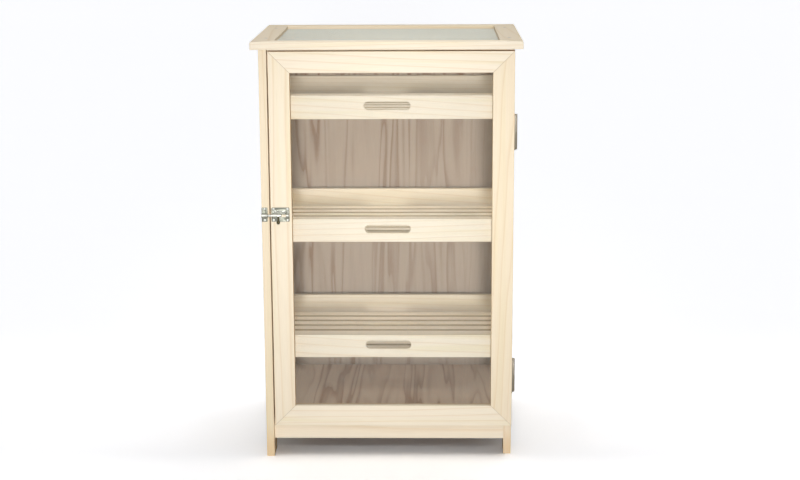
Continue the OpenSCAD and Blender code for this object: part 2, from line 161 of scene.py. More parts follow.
def pick(piece, kind, test):
    """Enters edit mode with just those faces or edges selected whose middle and direction pass the test."""
    take(piece)
    bpy.ops.object.mode_set(mode="EDIT")
    bpy.ops.mesh.select_mode(type=kind)
    bpy.ops.mesh.select_all(action="DESELECT")
    shape = bmesh.from_edit_mesh(piece.data)
    for part in shape.faces if kind == "FACE" else shape.edges:
        if kind == "FACE":
            middle, along = part.calc_center_median(), part.normal
        else:
            ends = [v.co for v in part.verts]
            middle, along = (ends[0] + ends[1]) / 2, (ends[1] - ends[0]).normalized()
        part.select_set(bool(test(middle / MM, along)))
    bmesh.update_edit_mesh(piece.data)


def work(piece, kind, **settings):
    """Adds a modifier to the piece and applies it."""
    take(piece)
    tool = piece.modifiers.new(kind.lower(), kind)
    for name, value in settings.items():
        setattr(tool, name, value)
    bpy.ops.object.modifier_apply(modifier=tool.name)
    return piece


def carve(piece, cutter, operation="DIFFERENCE"):
    """Cuts the cutter away from the piece, or joins it on."""
    work(piece, "BOOLEAN", object=cutter, operation=operation, solver="EXACT")
    bpy.data.objects.remove(cutter)
    return piece


def ease(piece, width, segments=2):
    """Rounds the piece's sharp edges and shades it smooth between them."""
    work(piece, "BEVEL", width=width * MM, segments=segments, limit_method="ANGLE",
         angle_limit=SHARP, use_clamp_overlap=True)
    take(piece)
    bpy.ops.object.shade_smooth_by_angle(angle=SHARP)
    return piece


def join(name, parts):
    """Makes one piece of several."""
    let_go()
    for part in parts:
        part.select_set(True)
    bpy.context.view_layer.objects.active = parts[0]
    bpy.ops.object.join()
    parts[0].name = parts[0].data.name = name
    return parts[0]


def copy_to(piece, place, turn=(0, 0, 0)):
    """Copy of the piece with its own mesh, turned about the origin and moved to a place in millimetres."""
    take(piece)
    bpy.ops.object.duplicate(linked=False)
    copy = bpy.context.object
    copy.rotation_euler = turn
    copy.location = Vector(place) * MM
    bpy.ops.object.transform_apply(location=True, rotation=True, scale=True)
    return copy


def fit_out(piece, body, slot, materials, *nodes):
    """Gives the piece its finish and its body, and puts it in place of the nodes that it stands for."""
    if materials:
        piece.data.materials.clear()
    for material in materials:
        piece.data.materials.append(material)
    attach(piece, body)
    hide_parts(*nodes)
    return piece


def box_mm(node):
    """Lowest and highest corner of a CAD node, in millimetres."""
    low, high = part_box(node)
    return low / MM, high / MM


# ---------------------------------------------------------------- materials

def linear(code):
    """Linear colour of an sRGB hex value."""
    parts = [int(code[i:i + 2], 16) / 255 for i in (1, 3, 5)]
    return tuple(p / 12.92 if p <= 0.04045 else ((p + 0.055) / 1.055) ** 2.4 for p in parts) + (1.0,)


def add(tree, kind, inputs=None, stops=None, **settings):
    """Adds a shader node with its settings, its values or links, and the stops of a colour ramp."""
    made = tree.nodes.new("ShaderNode" + kind)
    for name, value in settings.items():
        setattr(made, name, value)
    for name, value in (inputs or {}).items():
        if isinstance(value, bpy.types.NodeSocket):
            tree.links.new(value, made.inputs[name])
        else:
            made.inputs[name].default_value = value
    if stops:
        ramp = made.color_ramp.elements
        while len(ramp) < len(stops):
            ramp.new(0.5)
        for element, (place, code) in zip(ramp, stops):
            element.position = place
            element.color = linear(code)
    return made


def blank(name):
    """New material with only its output, and its node tree."""
    material = bpy.data.materials.new(name)
    material.use_nodes = True
    material.node_tree.nodes.clear()
    return material, material.node_tree


def finish_surface(tree, shader):
    """Links the shader to the material's output."""
    add(tree, "OutputMaterial", {"Surface": shader.outputs[0]})


PER_MM = 1 / MM
MITRE_LINE = 0.9                 # width of the line between mitred boards, in millimetres
FOOT_SHADE_MM = 75.0                   # painted shade: the legs' lower ends are painted darker and warmer up to this height, near the floor
WAVE_LENGTH = 2 * math.pi / 20   # a wave texture's own spacing at scale 1
FIBRE_STRETCH = 0.04             # fibres run this much slower along the grain
RING_STRETCH = 0.1               # and the years' lines this much
FLAME_STRETCH = 0.07             # and the flames of the plywood this much
SUMMER_WOOD = "#dcb983"
YELLOW_WOOD = "#e8cc9c"          # what a board leans towards as its tone goes up
# painted shade: the darker, warmer colour of the legs' feet near the floor
FOOT_SHADE_WOOD = "#e8bc80"
END_GRAIN = "#dcbc8c"
MITRE_SHADOW = "#8d6a42"
PLYWOOD_PALE = "#ae9b88"
PLYWOOD_DARK = "#87674b"
TO_GRAIN = {"X": (0, 0, 0), "Y": (0, 0, -math.pi / 2), "Z": (0, math.pi / 2, 0)}


def along_grain(tree, grain, stretch=FIBRE_STRETCH):
    """Object coordinates in millimetres, turned so that the grain is along X and slowed down along it."""
    place = add(tree, "TexCoord").outputs["Object"]
    scale = [PER_MM * (stretch if axis == grain else 1) for axis in AXES]
    return add(tree, "Mapping", {"Vector": place, "Rotation": TO_GRAIN[grain], "Scale": scale}).outputs[0]


def faces(tree, axis, least):
    """1 where the surface faces along the axis, either way, and 0 elsewhere."""
    facing = add(tree, "SeparateXYZ", {0: add(tree, "TexCoord").outputs["Normal"]}).outputs[AXES.index(axis)]
    size = add(tree, "Math", {0: facing}, operation="ABSOLUTE").outputs[0]
    return add(tree, "Math", {0: size, 1: least}, operation="GREATER_THAN").outputs[0]


def mitre_line(tree, colour, frame_box, axes):
    """Thin dark line where the mitred boards of a frame meet: as far in from its side as from its end."""
    place = add(tree, "SeparateXYZ", {0: add(tree, "TexCoord").outputs["Object"]}).outputs
    low, high = frame_box
    depths = []
    for axis in axes:
        middle, half = (low[axis] + high[axis]) / 2, (high[axis] - low[axis]) / 2
        off = add(tree, "Math", {0: place[axis], 1: middle * MM}, operation="SUBTRACT").outputs[0]
        size = add(tree, "Math", {0: off}, operation="ABSOLUTE").outputs[0]
        depths.append(add(tree, "Math", {0: half * MM, 1: size}, operation="SUBTRACT").outputs[0])
    apart = add(tree, "Math", {0: depths[0], 1: depths[1]}, operation="SUBTRACT").outputs[0]
    far = add(tree, "Math", {0: apart}, operation="ABSOLUTE").outputs[0]
    share = add(tree, "MapRange", {"Value": far, "From Min": 0.2 * MM, "From Max": MITRE_LINE * MM,
                                   "To Min": 0.4, "To Max": 0.0}).outputs[0]
    return add(tree, "Mix", {0: share, 6: colour, 7: linear(MITRE_SHADOW)}, data_type="RGBA").outputs[2]


def pine(name, grain, pith, tilt, ring, tone, painted_shade, contrast, mitre, foot_shade, sawn):
    """Pine, sawn, planed and left bare: pale cream, with darker summer wood lines that wander along the
    board, a fine fibre and slow changes between creamier and yellower wood. Ends are darker.
    pith is where the tree's middle lies from the board's own frame, and ring the width of a year, in mm;
    mitre is the frame that a mitred board belongs to, with its two axes; foot is the height up to which
    a leg is painted darker and warmer, as painted shade near the floor, and sawn the axis that edges
    painted darker face, as painted shade in the gaps and openings between boards, with their colour."""
    material, tree = blank(name)
    board = along_grain(tree, grain)
    log = add(tree, "Mapping", {
        "Vector": along_grain(tree, grain, RING_STRETCH),
        "Location": (0, pith[0], pith[1]), "Rotation": (0, tilt[0], tilt[1])}).outputs[0]
    years = add(tree, "TexWave", {
        "Vector": log, "Scale": WAVE_LENGTH / ring, "Distortion": 5.0, "Detail": 2.0,
        "Detail Scale": 0.5, "Detail Roughness": 0.5},
        wave_type="RINGS", rings_direction="X", wave_profile="SAW").outputs["Fac"]
    fibre = add(tree, "TexNoise", {"Vector": board, "Scale": 0.8, "Detail": 2.0}).outputs["Fac"]
    slow = add(tree, "TexNoise", {"Vector": board, "Scale": 0.05, "Detail": 2.0,
                                  "Distortion": 0.4}).outputs["Fac"]
    spring = add(tree, "ValToRGB", {"Fac": slow}, stops=[
        (0.32, "#f9ead2"), (0.5, "#fbeed8"), (0.68, "#f7e9cb")]).outputs[0]
    summer = add(tree, "ValToRGB", {"Fac": years}, stops=[
        (0.0, "#808080"), (0.1, "#000000"), (0.5, "#141414"), (0.82, "#606060"),
        (0.95, "#e0e0e0")]).outputs[0]
    share = add(tree, "Math", {0: summer, 1: 0.36 * contrast}, operation="MULTIPLY").outputs[0]
    ringed = add(tree, "Mix", {0: share, 6: spring, 7: linear(SUMMER_WOOD)}, data_type="RGBA").outputs[2]
    # painted shade: the board's shade factor scales the fibre's tone down
    fibre_and_painted_shade = add(tree, "MapRange", {"Value": fibre, "From Min": 0.3, "From Max": 0.7,
                                        "To Min": 0.975 * painted_shade, "To Max": 1.02 * painted_shade}).outputs[0]
    grained = add(tree, "VectorMath", {0: ringed, "Scale": fibre_and_painted_shade}, operation="SCALE").outputs[0]
    toned = add(tree, "Mix", {0: tone, 6: grained, 7: linear(YELLOW_WOOD)}, data_type="RGBA").outputs[2]
    if mitre:
        toned = mitre_line(tree, toned, *mitre)
    if foot_shade:
        # painted shade: the leg darkens and warms towards the floor
        height = add(tree, "SeparateXYZ", {0: add(tree, "TexCoord").outputs["Object"]}).outputs["Z"]
        low = add(tree, "MapRange", {"Value": height, "From Min": 0.1 * foot_shade * MM, "From Max": foot_shade * MM,
                                     "To Min": 0.5, "To Max": 0.0},
                  interpolation_type="SMOOTHSTEP").outputs[0]
        streaky = add(tree, "MapRange", {"Value": fibre, "From Min": 0.35, "From Max": 0.65, "To Min": 0.75,
                                         "To Max": 1.1}).outputs[0]
        deep = add(tree, "Math", {0: low, 1: streaky}, operation="MULTIPLY").outputs[0]
        toned = add(tree, "Mix", {0: deep, 6: toned, 7: linear(FOOT_SHADE_WOOD)}, data_type="RGBA").outputs[2]
    # painted shade: edges that face the gaps between boards are darker, as the shade in those gaps
    if sawn:
        toned = add(tree, "Mix", {0: faces(tree, sawn[0], 0.6), 6: toned, 7: linear(sawn[1])},
                    data_type="RGBA").outputs[2]
    colour = add(tree, "Mix", {0: faces(tree, grain, 0.9), 6: toned, 7: linear(END_GRAIN)},
                 data_type="RGBA").outputs[2]
    relief = add(tree, "Math", {0: summer, 1: fibre}, operation="ADD").outputs[0]
    bump = add(tree, "Bump", {"Height": relief, "Strength": 0.25, "Distance": 0.1 * MM}).outputs[0]
    rough = add(tree, "MapRange", {"Value": fibre, "To Min": 0.55, "To Max": 0.72}).outputs[0]
    finish_surface(tree, add(tree, "BsdfPrincipled", {
        "Base Color": colour, "Roughness": rough, "IOR": 1.5, "Specular IOR Level": 0.25, "Normal": bump}))
    return material


def plywood(name, grain, start, tone):
    """Thin plywood with a rotary cut face: warm brown, with tall flames where the knife ran through
    the years' layers, and fine open pores along the grain. tone is how pale the sheet is drawn; the floor
    panel's is raised above the back panel's as painted light, where too little light reaches it."""
    material, tree = blank(name)
    moved = add(tree, "Mapping", {"Vector": along_grain(tree, grain, FLAME_STRETCH),
                                  "Location": start}).outputs[0]
    field = add(tree, "TexNoise", {"Vector": moved, "Scale": 0.022, "Detail": 2.0, "Roughness": 0.5,
                                   "Distortion": 0.4}).outputs["Fac"]
    layers = add(tree, "Math", {0: field, 1: 6.0}, operation="MULTIPLY").outputs[0]
    depth = add(tree, "Math", {0: layers}, operation="FRACT").outputs[0]
    flame = add(tree, "ValToRGB", {"Fac": depth}, stops=[
        (0.0, "#c0c0c0"), (0.18, "#202020"), (0.4, "#000000"), (0.65, "#808080"),
        (0.9, "#ffffff")]).outputs[0]
    patch = add(tree, "TexNoise", {"Vector": moved, "Scale": 0.012, "Detail": 1.0}).outputs["Fac"]
    strong = add(tree, "MapRange", {"Value": patch, "From Min": 0.36, "From Max": 0.58, "To Min": 0.18,
                                    "To Max": 1.0}).outputs[0]
    share = add(tree, "Math", {0: flame, 1: strong}, operation="MULTIPLY").outputs[0]
    figure = add(tree, "Mix", {0: share, 6: linear(PLYWOOD_PALE), 7: linear(PLYWOOD_DARK)},
                 data_type="RGBA").outputs[2]
    fibre = add(tree, "TexNoise", {"Vector": along_grain(tree, grain), "Scale": 0.7,
                                   "Detail": 2.0}).outputs["Fac"]
    pores = add(tree, "MapRange", {"Value": fibre, "From Min": 0.3, "From Max": 0.7, "To Min": 0.95 * tone,
                                   "To Max": 1.03 * tone}).outputs[0]
    colour = add(tree, "VectorMath", {0: figure, "Scale": pores}, operation="SCALE").outputs[0]
    bump = add(tree, "Bump", {"Height": fibre, "Strength": 0.3, "Distance": 0.1 * MM}).outputs[0]
    finish_surface(tree, add(tree, "BsdfPrincipled", {
        "Base Color": colour, "Roughness": 0.6, "IOR": 1.5, "Normal": bump}))
    return material


def metal(name, code, rough, grime, cloud_mm, share):
    """Metal whose colour and gloss vary a little in soft clouds, cloud_mm wide: share is how far the
    clouds go towards the colour of the grime."""
    material, tree = blank(name)
    place = add(tree, "TexCoord").outputs["Object"]
    cloud = add(tree, "TexNoise", {"Vector": place, "Scale": PER_MM / cloud_mm, "Detail": 3.0}).outputs["Fac"]
    patch = add(tree, "MapRange", {"Value": cloud, "From Min": 0.35, "From Max": 0.65, "To Min": 0.0,
                                   "To Max": share}).outputs[0]
    colour = add(tree, "Mix", {0: patch, 6: linear(code), 7: linear(grime)}, data_type="RGBA").outputs[2]
    gloss = add(tree, "MapRange", {"Value": cloud, "To Min": rough - 0.07, "To Max": rough + 0.07}).outputs[0]
    fine = add(tree, "TexNoise", {"Vector": place, "Scale": PER_MM / 0.6, "Detail": 2.0}).outputs["Fac"]
    bump = add(tree, "Bump", {"Height": fine, "Strength": 0.15, "Distance": 0.05 * MM}).outputs[0]
    finish_surface(tree, add(tree, "BsdfPrincipled", {
        "Base Color": colour, "Roughness": gloss, "Metallic": 1.0, "Normal": bump}))
    return material


# Aluminium wire, drawn and left bare: pale grey with a soft sheen, which veils what lies behind it
SCREEN_METAL = metal("aluminium_wire_drawn", "#c9cec9", 0.45, "#aeb2a9", 9.0, 0.2)
# Mild steel, stamped and zinc plated: soft grey with a faint olive cast
ZINC = metal("zinc_plated_steel_stamped", "#75766c", 0.45, "#5b5b50", 5.0, 0.35)
# The same steel, in a lighter grey, on the guides and the keeper's tunnel pressed up over the rod
ZINC_LIGHT = metal("zinc_plated_steel_pressed", "#9b9b93", 0.38, "#7d7c72", 4.0, 0.3)
# Mild steel rod, drawn and bright plated: lighter and glossier than the stamped plate; the plate's raised
# rims get it too, as painted highlight
BRIGHT_STEEL_AND_RIM_HIGHLIGHT = metal("bright_plated_steel_drawn", "#bfbeb8", 0.3, "#9a988d", 5.0, 0.25)
# Screw heads, cold formed and bright plated: the lightest spots on the hardware
SCREW_METAL = metal("bright_plated_steel_screw", "#a3a49e", 0.38, "#82827a", 3.0, 0.2)
# Ball of the bolt, turned steel burnished dark: reads as an olive black bead
BURNISHED = metal("burnished_steel_turned", "#57503a", 0.32, "#2d291d", 3.0, 0.5)
# Hinge halves: the door's is a warm light grey, the post's is a darker one
HINGE_LIGHT = metal("zinc_plated_steel_hinge_upper", "#878074", 0.4, "#6b6457", 8.0, 0.3)
HINGE_DARK = metal("zinc_plated_steel_hinge_lower", "#787163", 0.42, "#5d5648", 8.0, 0.3)


# ---------------------------------------------------------------- screens

def threads(name, low, high, spread, run, normal_low, radius):
    """Row of straight threads that run along one axis and are spread along another."""
    middle = [(a + b) / 2 for a, b in zip(low, high)]
    thin = 3 - spread - run
    middle[thin] = normal_low + radius
    count = int((high[spread] - low[spread] - 2 * radius) / SCREEN_PITCH)
    middle[spread] -= count * SCREEN_PITCH / 2
    piece = bar(name, middle, AXES[run], high[run] - low[run], radius, sides=6)
    pick(piece, "EDGE", lambda place, along: abs(along[run]) > 0.9)
    bpy.ops.mesh.subdivide(number_cuts=5)
    let_go()
    step = [0.0, 0.0, 0.0]
    step[spread] = SCREEN_PITCH * MM
    work(piece, "ARRAY", count=count + 1, use_relative_offset=False, use_constant_offset=True,
         constant_offset_displace=step)
    return piece


def screen(node, normal, wide, tall):
    """Fine woven screen: one layer of threads each way, and each thread wanders a little."""
    low, high = box_mm(node)
    radius = SCREEN_WIRE / 2
    loose = bpy.data.textures.new(node + "_wander", "CLOUDS")
    loose.noise_scale = 3 * MM
    rows = []
    for spread, run, depth in ((wide, tall, 0.0), (tall, wide, SCREEN_WIRE)):
        inset = [0.0, 0.0, 0.0]
        inset[spread] = SCREEN_WANDER / 2
        inner_low = [a + b for a, b in zip(low, inset)]
        inner_high = [a - b for a, b in zip(high, inset)]
        row = threads(node + "_threads", inner_low, inner_high, spread, run, low[normal] + depth, radius)
        work(row, "DISPLACE", texture=loose, texture_coords="LOCAL", direction=AXES[spread],
             strength=SCREEN_WANDER * MM, mid_level=0.5)
        rows.append(row)
    return join(node + "_screen", rows)


def make_screens():
    """Screens of the door, the top and the sides."""
    for node, body, normal, wide, tall in (
            ("door_mesh", "door", 1, 0, 2), ("top_mesh", "cabinet", 2, 0, 1),
            ("side_mesh_left", "cabinet", 0, 1, 2), ("side_mesh_right", "cabinet", 0, 1, 2)):
        fit_out(screen(node, normal, wide, tall), body, "wire_mesh", [SCREEN_METAL], node)


# ---------------------------------------------------------------- screws

def make_screw(head_r, head_h, shank_r, length, sides=24):
    """Countersunk screw with a cross recess: head's face at z = 0, point downwards."""
    screw = bar("screw", (0, 0, -head_h / 2), "Z", head_h, head_r, sides)
    pick(screw, "FACE", lambda place, facing: facing.z < -0.9)
    bpy.ops.transform.resize(value=(shank_r / head_r,) * 2 + (1,))
    bpy.ops.mesh.extrude_region_move(
        TRANSFORM_OT_translate={"value": (0, 0, -(length - head_h - 2 * shank_r) * MM)})
    bpy.ops.mesh.extrude_region_move(TRANSFORM_OT_translate={"value": (0, 0, -2 * shank_r * MM)})
    bpy.ops.transform.resize(value=(0.15, 0.15, 1))
    pick(screw, "FACE", lambda place, facing: facing.z > 0.9)
    bpy.ops.mesh.inset(thickness=0.22 * head_r * MM)
    bpy.ops.transform.translate(value=(0, 0, 0.1 * head_r * MM))
    let_go()
    wide, reach, deep = 0.13 * head_r, 0.62 * head_r, 0.5 * head_h
    cross = block("cross", (-wide, -reach, -deep), (wide, reach, head_h))
    carve(cross, block("arm", (-reach, -wide, -deep), (reach, wide, head_h)), "UNION")
    carve(screw, cross)
    take(screw)
    bpy.ops.object.shade_smooth_by_angle(angle=SHARP)
    return screw


def place_screws(name, pattern, spots, turn, body, *nodes):
    """Copies the screw to each spot, each turned by its own angle as a hand would leave it."""
    copies = []
    for spot in spots:
        twist = copy_to(pattern, (0, 0, 0), (0, 0, dice.uniform(0, math.pi / 2)))
        copies.append(copy_to(twist, spot, turn))
        bpy.data.objects.remove(twist)
    return fit_out(join(name, copies), body, "zinc_plated_steel", [SCREW_METAL], *nodes)


FACING_FRONT = (math.pi / 2, 0, 0)
FACING_RIGHT = (0, math.pi / 2, 0)
dice = random.Random(11)


# ---------------------------------------------------------------- bolt and keeper

DOOR_FACE = box_mm("door_stile_left")[0].y
PLATE_LOW, PLATE_HIGH = box_mm("bolt_plate")
KEEPER_LOW, KEEPER_HIGH = box_mm("keeper")
ROD_LOW, ROD_HIGH = box_mm("bolt_rod")
ROD_Y = (ROD_LOW.y + ROD_HIGH.y) / 2
ROD_Z = ROD_HIGH.z - ROD_R
BALL_Z = ROD_LOW.z + KNOB_R
STEM_X = PLATE_LOW.x + STEM_AT
SCREW_FACE = DOOR_FACE - PLATE_T
PLATE_EASE = 0.2                 # rounding of the stamped plates' edges
GUIDE_EASE = 0.18                # and of the guides' and the keeper tunnel's


def tunnel(name, x0, x1):
    """Guide pressed up over the rod, open towards the door."""
    inner, outer = ROD_R + ROD_FIT, ROD_R + ROD_FIT + GUIDE_T
    middle = ((x0 + x1) / 2, ROD_Y, ROD_Z)
    guide = bar(name, middle, "X", x1 - x0, outer, 40)
    back = SCREW_FACE + 0.4
    carve(guide, block("walls", (x0, ROD_Y, ROD_Z - outer), (x1, back, ROD_Z + outer)), "UNION")
    carve(guide, bar("bore", middle, "X", x1 - x0 + 2, inner, 40))
    carve(guide, block("gap", (x0 - 1, ROD_Y, ROD_Z - inner), (x1 + 1, back + 1, ROD_Z + inner)))
    return guide


def long_ring(name, x, z, length, height, thick):
    """Raised rim round a long hole: a ring pulled out to a slot's shape."""
    let_go()
    radius = height / 2 - thick
    bpy.ops.mesh.primitive_torus_add(
        major_radius=radius * MM, minor_radius=thick * MM, major_segments=24, minor_segments=8,
        location=Vector((x, SCREW_FACE, z)) * MM, rotation=FACING_FRONT)
    ring = settle(name)
    stretch = (length - height) / 2
    for side in (-1, 1):
        pick(ring, "FACE", lambda place, facing: (place.x - x) * side > 0.01)
        bpy.ops.transform.translate(value=(side * stretch * MM, 0, 0))
    let_go()
    return ring


def make_plate():
    """Stamped plate of the bolt with its guides, raised rims and the window behind the rod's end."""
    x0, rim_z = PLATE_LOW.x, ROD_Z + RIM_UP
    plate = block("bolt_plate_stamped", (x0, SCREW_FACE, PLATE_LOW.z),
                  (PLATE_HIGH.x, DOOR_FACE, PLATE_HIGH.z))
    pick(plate, "EDGE", lambda place, along: abs(along.y) > 0.9)
    bpy.ops.mesh.bevel(offset=PLATE_CORNER * MM, segments=4)
    let_go()
    rims = []
    for x, length in LONG_RIMS:
        rims.append(long_ring("rim", x0 + x, rim_z, length, *LONG_RIM_SIZE))
        half = length / 2 - SLOT_IN
        carve(plate, block("slot", (x0 + x - half, SCREW_FACE - 1, rim_z - SLOT_HALF),
                           (x0 + x + half, SCREW_FACE + SLOT_DEEP, rim_z + SLOT_HALF)))
    rims.append(long_ring("rim", PLATE_HIGH.x - SHORT_RIM_IN, rim_z, *SHORT_RIM_SIZE))
    carve(plate, block("window", (x0 + WINDOW[0], SCREW_FACE - 1, ROD_Z + WINDOW_Z[0]),
                       (x0 + WINDOW[1], DOOR_FACE + 1, ROD_Z + WINDOW_Z[1])))
    for x in (PLATE_SCREW_IN, PLATE_HIGH.x - x0 - PLATE_SCREW_IN):
        for z in (-BOLT_SCREW_UP, BOLT_SCREW_UP):
            middle = (x0 + x, SCREW_FACE, (PLATE_LOW.z + PLATE_HIGH.z) / 2 + z)
            carve(plate, bar("hole", middle, "Y", 3, HOLE_R, 24))
    ease(plate, PLATE_EASE)
    near = tunnel("near_guide", x0 + NEAR_GUIDE[0], x0 + NEAR_GUIDE[1])
    carve(near, block("way", (x0 + STEM_WAY[0], ROD_Y - ROD_R, ROD_Z - 13),
                      (x0 + STEM_WAY[1], ROD_Y + ROD_R, ROD_Z)))
    far = tunnel("far_guide", x0 + FAR_GUIDE[0], x0 + FAR_GUIDE[1])
    for guide in (near, far):
        ease(guide, GUIDE_EASE)
    # painted highlight: the plate's raised rims take the rod's lighter steel
    for rim in rims:
        take(rim)
        bpy.ops.object.shade_smooth()
        rim.data.materials.append(BRIGHT_STEEL_AND_RIM_HIGHLIGHT)
    for part, finish in ((plate, ZINC), (near, ZINC_LIGHT), (far, ZINC_LIGHT)):
        part.data.materials.append(finish)
    fit_out(join("bolt_plate_stamped", [plate, near, far] + rims), "door", "zinc_plated_steel", [],
            "bolt_plate")


def make_keeper():
    """Keeper on the post: a plate with a tunnel across it that takes the rod's tip."""
    x0, x1 = KEEPER_LOW.x, KEEPER_HIGH.x
    plate = block("keeper_stamped", (x0, SCREW_FACE, KEEPER_LOW.z), (x1, DOOR_FACE, KEEPER_HIGH.z))
    pick(plate, "EDGE", lambda place, along: abs(along.y) > 0.9)
    bpy.ops.mesh.bevel(offset=KEEPER_CORNER * MM, segments=4)
    let_go()
    for z in (-BOLT_SCREW_UP, BOLT_SCREW_UP):
        middle = ((x0 + x1) / 2, SCREW_FACE, (KEEPER_LOW.z + KEEPER_HIGH.z) / 2 + z)
        carve(plate, bar("hole", middle, "Y", 3, HOLE_R, 24))
    ease(plate, PLATE_EASE)
    loop = ease(tunnel("keeper_tunnel", x0, x1), GUIDE_EASE)
    plate.data.materials.append(ZINC)
    loop.data.materials.append(ZINC_LIGHT)
    fit_out(join("keeper_stamped", [plate, loop]), "cabinet", "zinc_plated_steel", [], "keeper")


def make_rod():
    """Rod with a turned stem and a ball to push it by."""
    rod = bar("bolt_rod_turned", ((ROD_LOW.x + PLATE_LOW.x + ROD_END) / 2, ROD_Y, ROD_Z), "X",
              PLATE_LOW.x + ROD_END - ROD_LOW.x, ROD_R, 40)
    ease(rod, 0.7, 3)
    stem = bar("stem", (STEM_X, ROD_Y, (ROD_Z + BALL_Z) / 2), "Z", ROD_Z - BALL_Z, STEM_R, 24)
    collar = bar("collar", (STEM_X, ROD_Y, ROD_Z - COLLAR_DOWN), "Z", COLLAR_H, STEM_R + COLLAR_WIDER, 24)
    ease(collar, 0.4, 3)
    let_go()
    bpy.ops.mesh.primitive_uv_sphere_add(segments=32, ring_count=20, radius=KNOB_R * MM,
                                         location=Vector((STEM_X, ROD_Y, BALL_Z)) * MM)
    ball = settle("ball")
    carve(ball, stem, "UNION")
    carve(ball, collar, "UNION")
    rod.data.materials.append(BRIGHT_STEEL_AND_RIM_HIGHLIGHT)
    ball.data.materials.append(BURNISHED)
    for part in (rod, ball):
        take(part)
        bpy.ops.object.shade_smooth_by_angle(angle=math.radians(40))
    fit_out(join("bolt_rod_turned", [rod, ball]), "bolt", "steel_rod", [], "bolt_rod")


# ---------------------------------------------------------------- hinges

POST_SIDE = box_mm("post_front_right")[1].x
HINGE_BOX = box_mm("hinge_leaves_cabinet")
HINGE_X = POST_SIDE + KNUCKLE_R
HINGE_Y = HINGE_BOX[0].y + KNUCKLE_R
LEAF_W = HINGE_BOX[1].y - HINGE_Y
HINGE_ZS = (HINGE_BOX[0].z + HINGE_H / 2, HINGE_BOX[1].z - HINGE_H / 2)
HINGE_SCREWS = [(side, z + dz) for side in (-1, 1) for z in HINGE_ZS
                for dz in (-HINGE_SCREW_STEP, 0, HINGE_SCREW_STEP)]


def make_leaf(side, z):
    """One half of a lift-off hinge: the door's half (side -1) has the upper barrel, the post's the lower."""
    near = KNUCKLE_R + HINGE_CLEAR
    faces = sorted((HINGE_Y + side * 0.5, HINGE_Y + side * LEAF_W))
    leaf = block("leaf", (POST_SIDE, faces[0], z - HINGE_H / 2),
                 (POST_SIDE + LEAF_T, faces[1], z + HINGE_H / 2))
    pick(leaf, "EDGE", lambda place, along: abs(along.x) > 0.9 and (place.y - HINGE_Y) * side > LEAF_W / 2)
    bpy.ops.mesh.bevel(offset=LEAF_CORNER * MM, segments=5)
    let_go()
    away = sorted((HINGE_Y - side * near, HINGE_Y + side * near))
    gap_low, gap_high = sorted((z - side * -HINGE_CLEAR / 2, z + side * (HINGE_H / 2 + 1)))
    carve(leaf, block("notch", (POST_SIDE - 1, away[0], gap_low), (POST_SIDE + 3, away[1], gap_high)))
    for spot_side, spot_z in HINGE_SCREWS:
        if spot_side == side and abs(spot_z - z) < HINGE_H / 2:
            middle = (POST_SIDE + LEAF_T, HINGE_Y + side * (LEAF_W - HINGE_SCREW_IN), spot_z)
            carve(leaf, bar("hole", middle, "X", 4, HOLE_R, 24))
    ease(leaf, 0.25)
    length = (HINGE_H - HINGE_CLEAR) / 2
    middle = (HINGE_X, HINGE_Y, z - side * (HINGE_CLEAR + length) / 2)
    barrel = bar("barrel", middle, "Z", length, KNUCKLE_R, 40)
    pick(barrel, "FACE", lambda place, facing: facing.z * -side > 0.9)
    bpy.ops.mesh.bevel(offset=BARREL_ROUND * MM, segments=5, affect="EDGES")
    let_go()
    reach = HINGE_H / 2 - KNUCKLE_R - PIN_SHORT
    if side < 0:
        bore = bar("bore", (HINGE_X, HINGE_Y, z + reach / 2), "Z", reach + 1, PIN_R + PIN_FIT)
        carve(barrel, bore)
    else:
        pin = bar("pin", (HINGE_X, HINGE_Y, z), "Z", 2 * reach, PIN_R)
        ease(pin, 0.4)
        carve(barrel, pin, "UNION")
    take(barrel)
    bpy.ops.object.shade_smooth_by_angle(angle=math.radians(35))
    return [leaf, barrel]


def make_hinges():
    """Both halves of both hinges."""
    for side, body, node, finish in ((-1, "door", "hinge_leaves_door", HINGE_LIGHT),
                                     (1, "cabinet", "hinge_leaves_cabinet", HINGE_DARK)):
        parts = [part for z in HINGE_ZS for part in make_leaf(side, z)]
        fit_out(join(node + "_rolled", parts), body, "zinc_plated_steel", [finish], node)


def make_screws():
    """Small screws of the hardware and the larger ones of the top frame."""
    small = make_screw(*SMALL_SCREW)
    middle_z = (PLATE_LOW.z + PLATE_HIGH.z) / 2
    screw_zs = (middle_z - BOLT_SCREW_UP, middle_z + BOLT_SCREW_UP)
    plate_x = (PLATE_LOW.x + PLATE_SCREW_IN, PLATE_HIGH.x - PLATE_SCREW_IN)
    place_screws("bolt_screws_cross", small, [(x, SCREW_FACE, z) for x in plate_x for z in screw_zs],
                 FACING_FRONT, "door", "bolt_screws")
    keeper_x = (KEEPER_LOW.x + KEEPER_HIGH.x) / 2
    place_screws("keeper_screws_cross", small, [(keeper_x, SCREW_FACE, z) for z in screw_zs],
                 FACING_FRONT, "cabinet", "keeper_screws")
    for side, body, node in ((-1, "door", "hinge_screws_door"), (1, "cabinet", "hinge_screws_cabinet")):
        spots = [(POST_SIDE + LEAF_T, HINGE_Y + side * (LEAF_W - HINGE_SCREW_IN), z)
                 for spot_side, z in HINGE_SCREWS if spot_side == side]
        place_screws(node + "_cross", small, spots, FACING_RIGHT, body, node)
    low, high = box_mm("top_screws")
    large = make_screw(*LARGE_SCREW, sides=32)
    head_r = LARGE_SCREW[0]
    place_screws("top_screws_cross", large,
                 [(x, y, high.z - LARGE_SINK) for x in (low.x + head_r, high.x - head_r)
                  for y in (low.y + head_r, high.y - head_r)],
                 (0, 0, 0), "cabinet", "top_screws")
    for pattern in (small, large):
        bpy.data.objects.remove(pattern)


# ---------------------------------------------------------------- wood

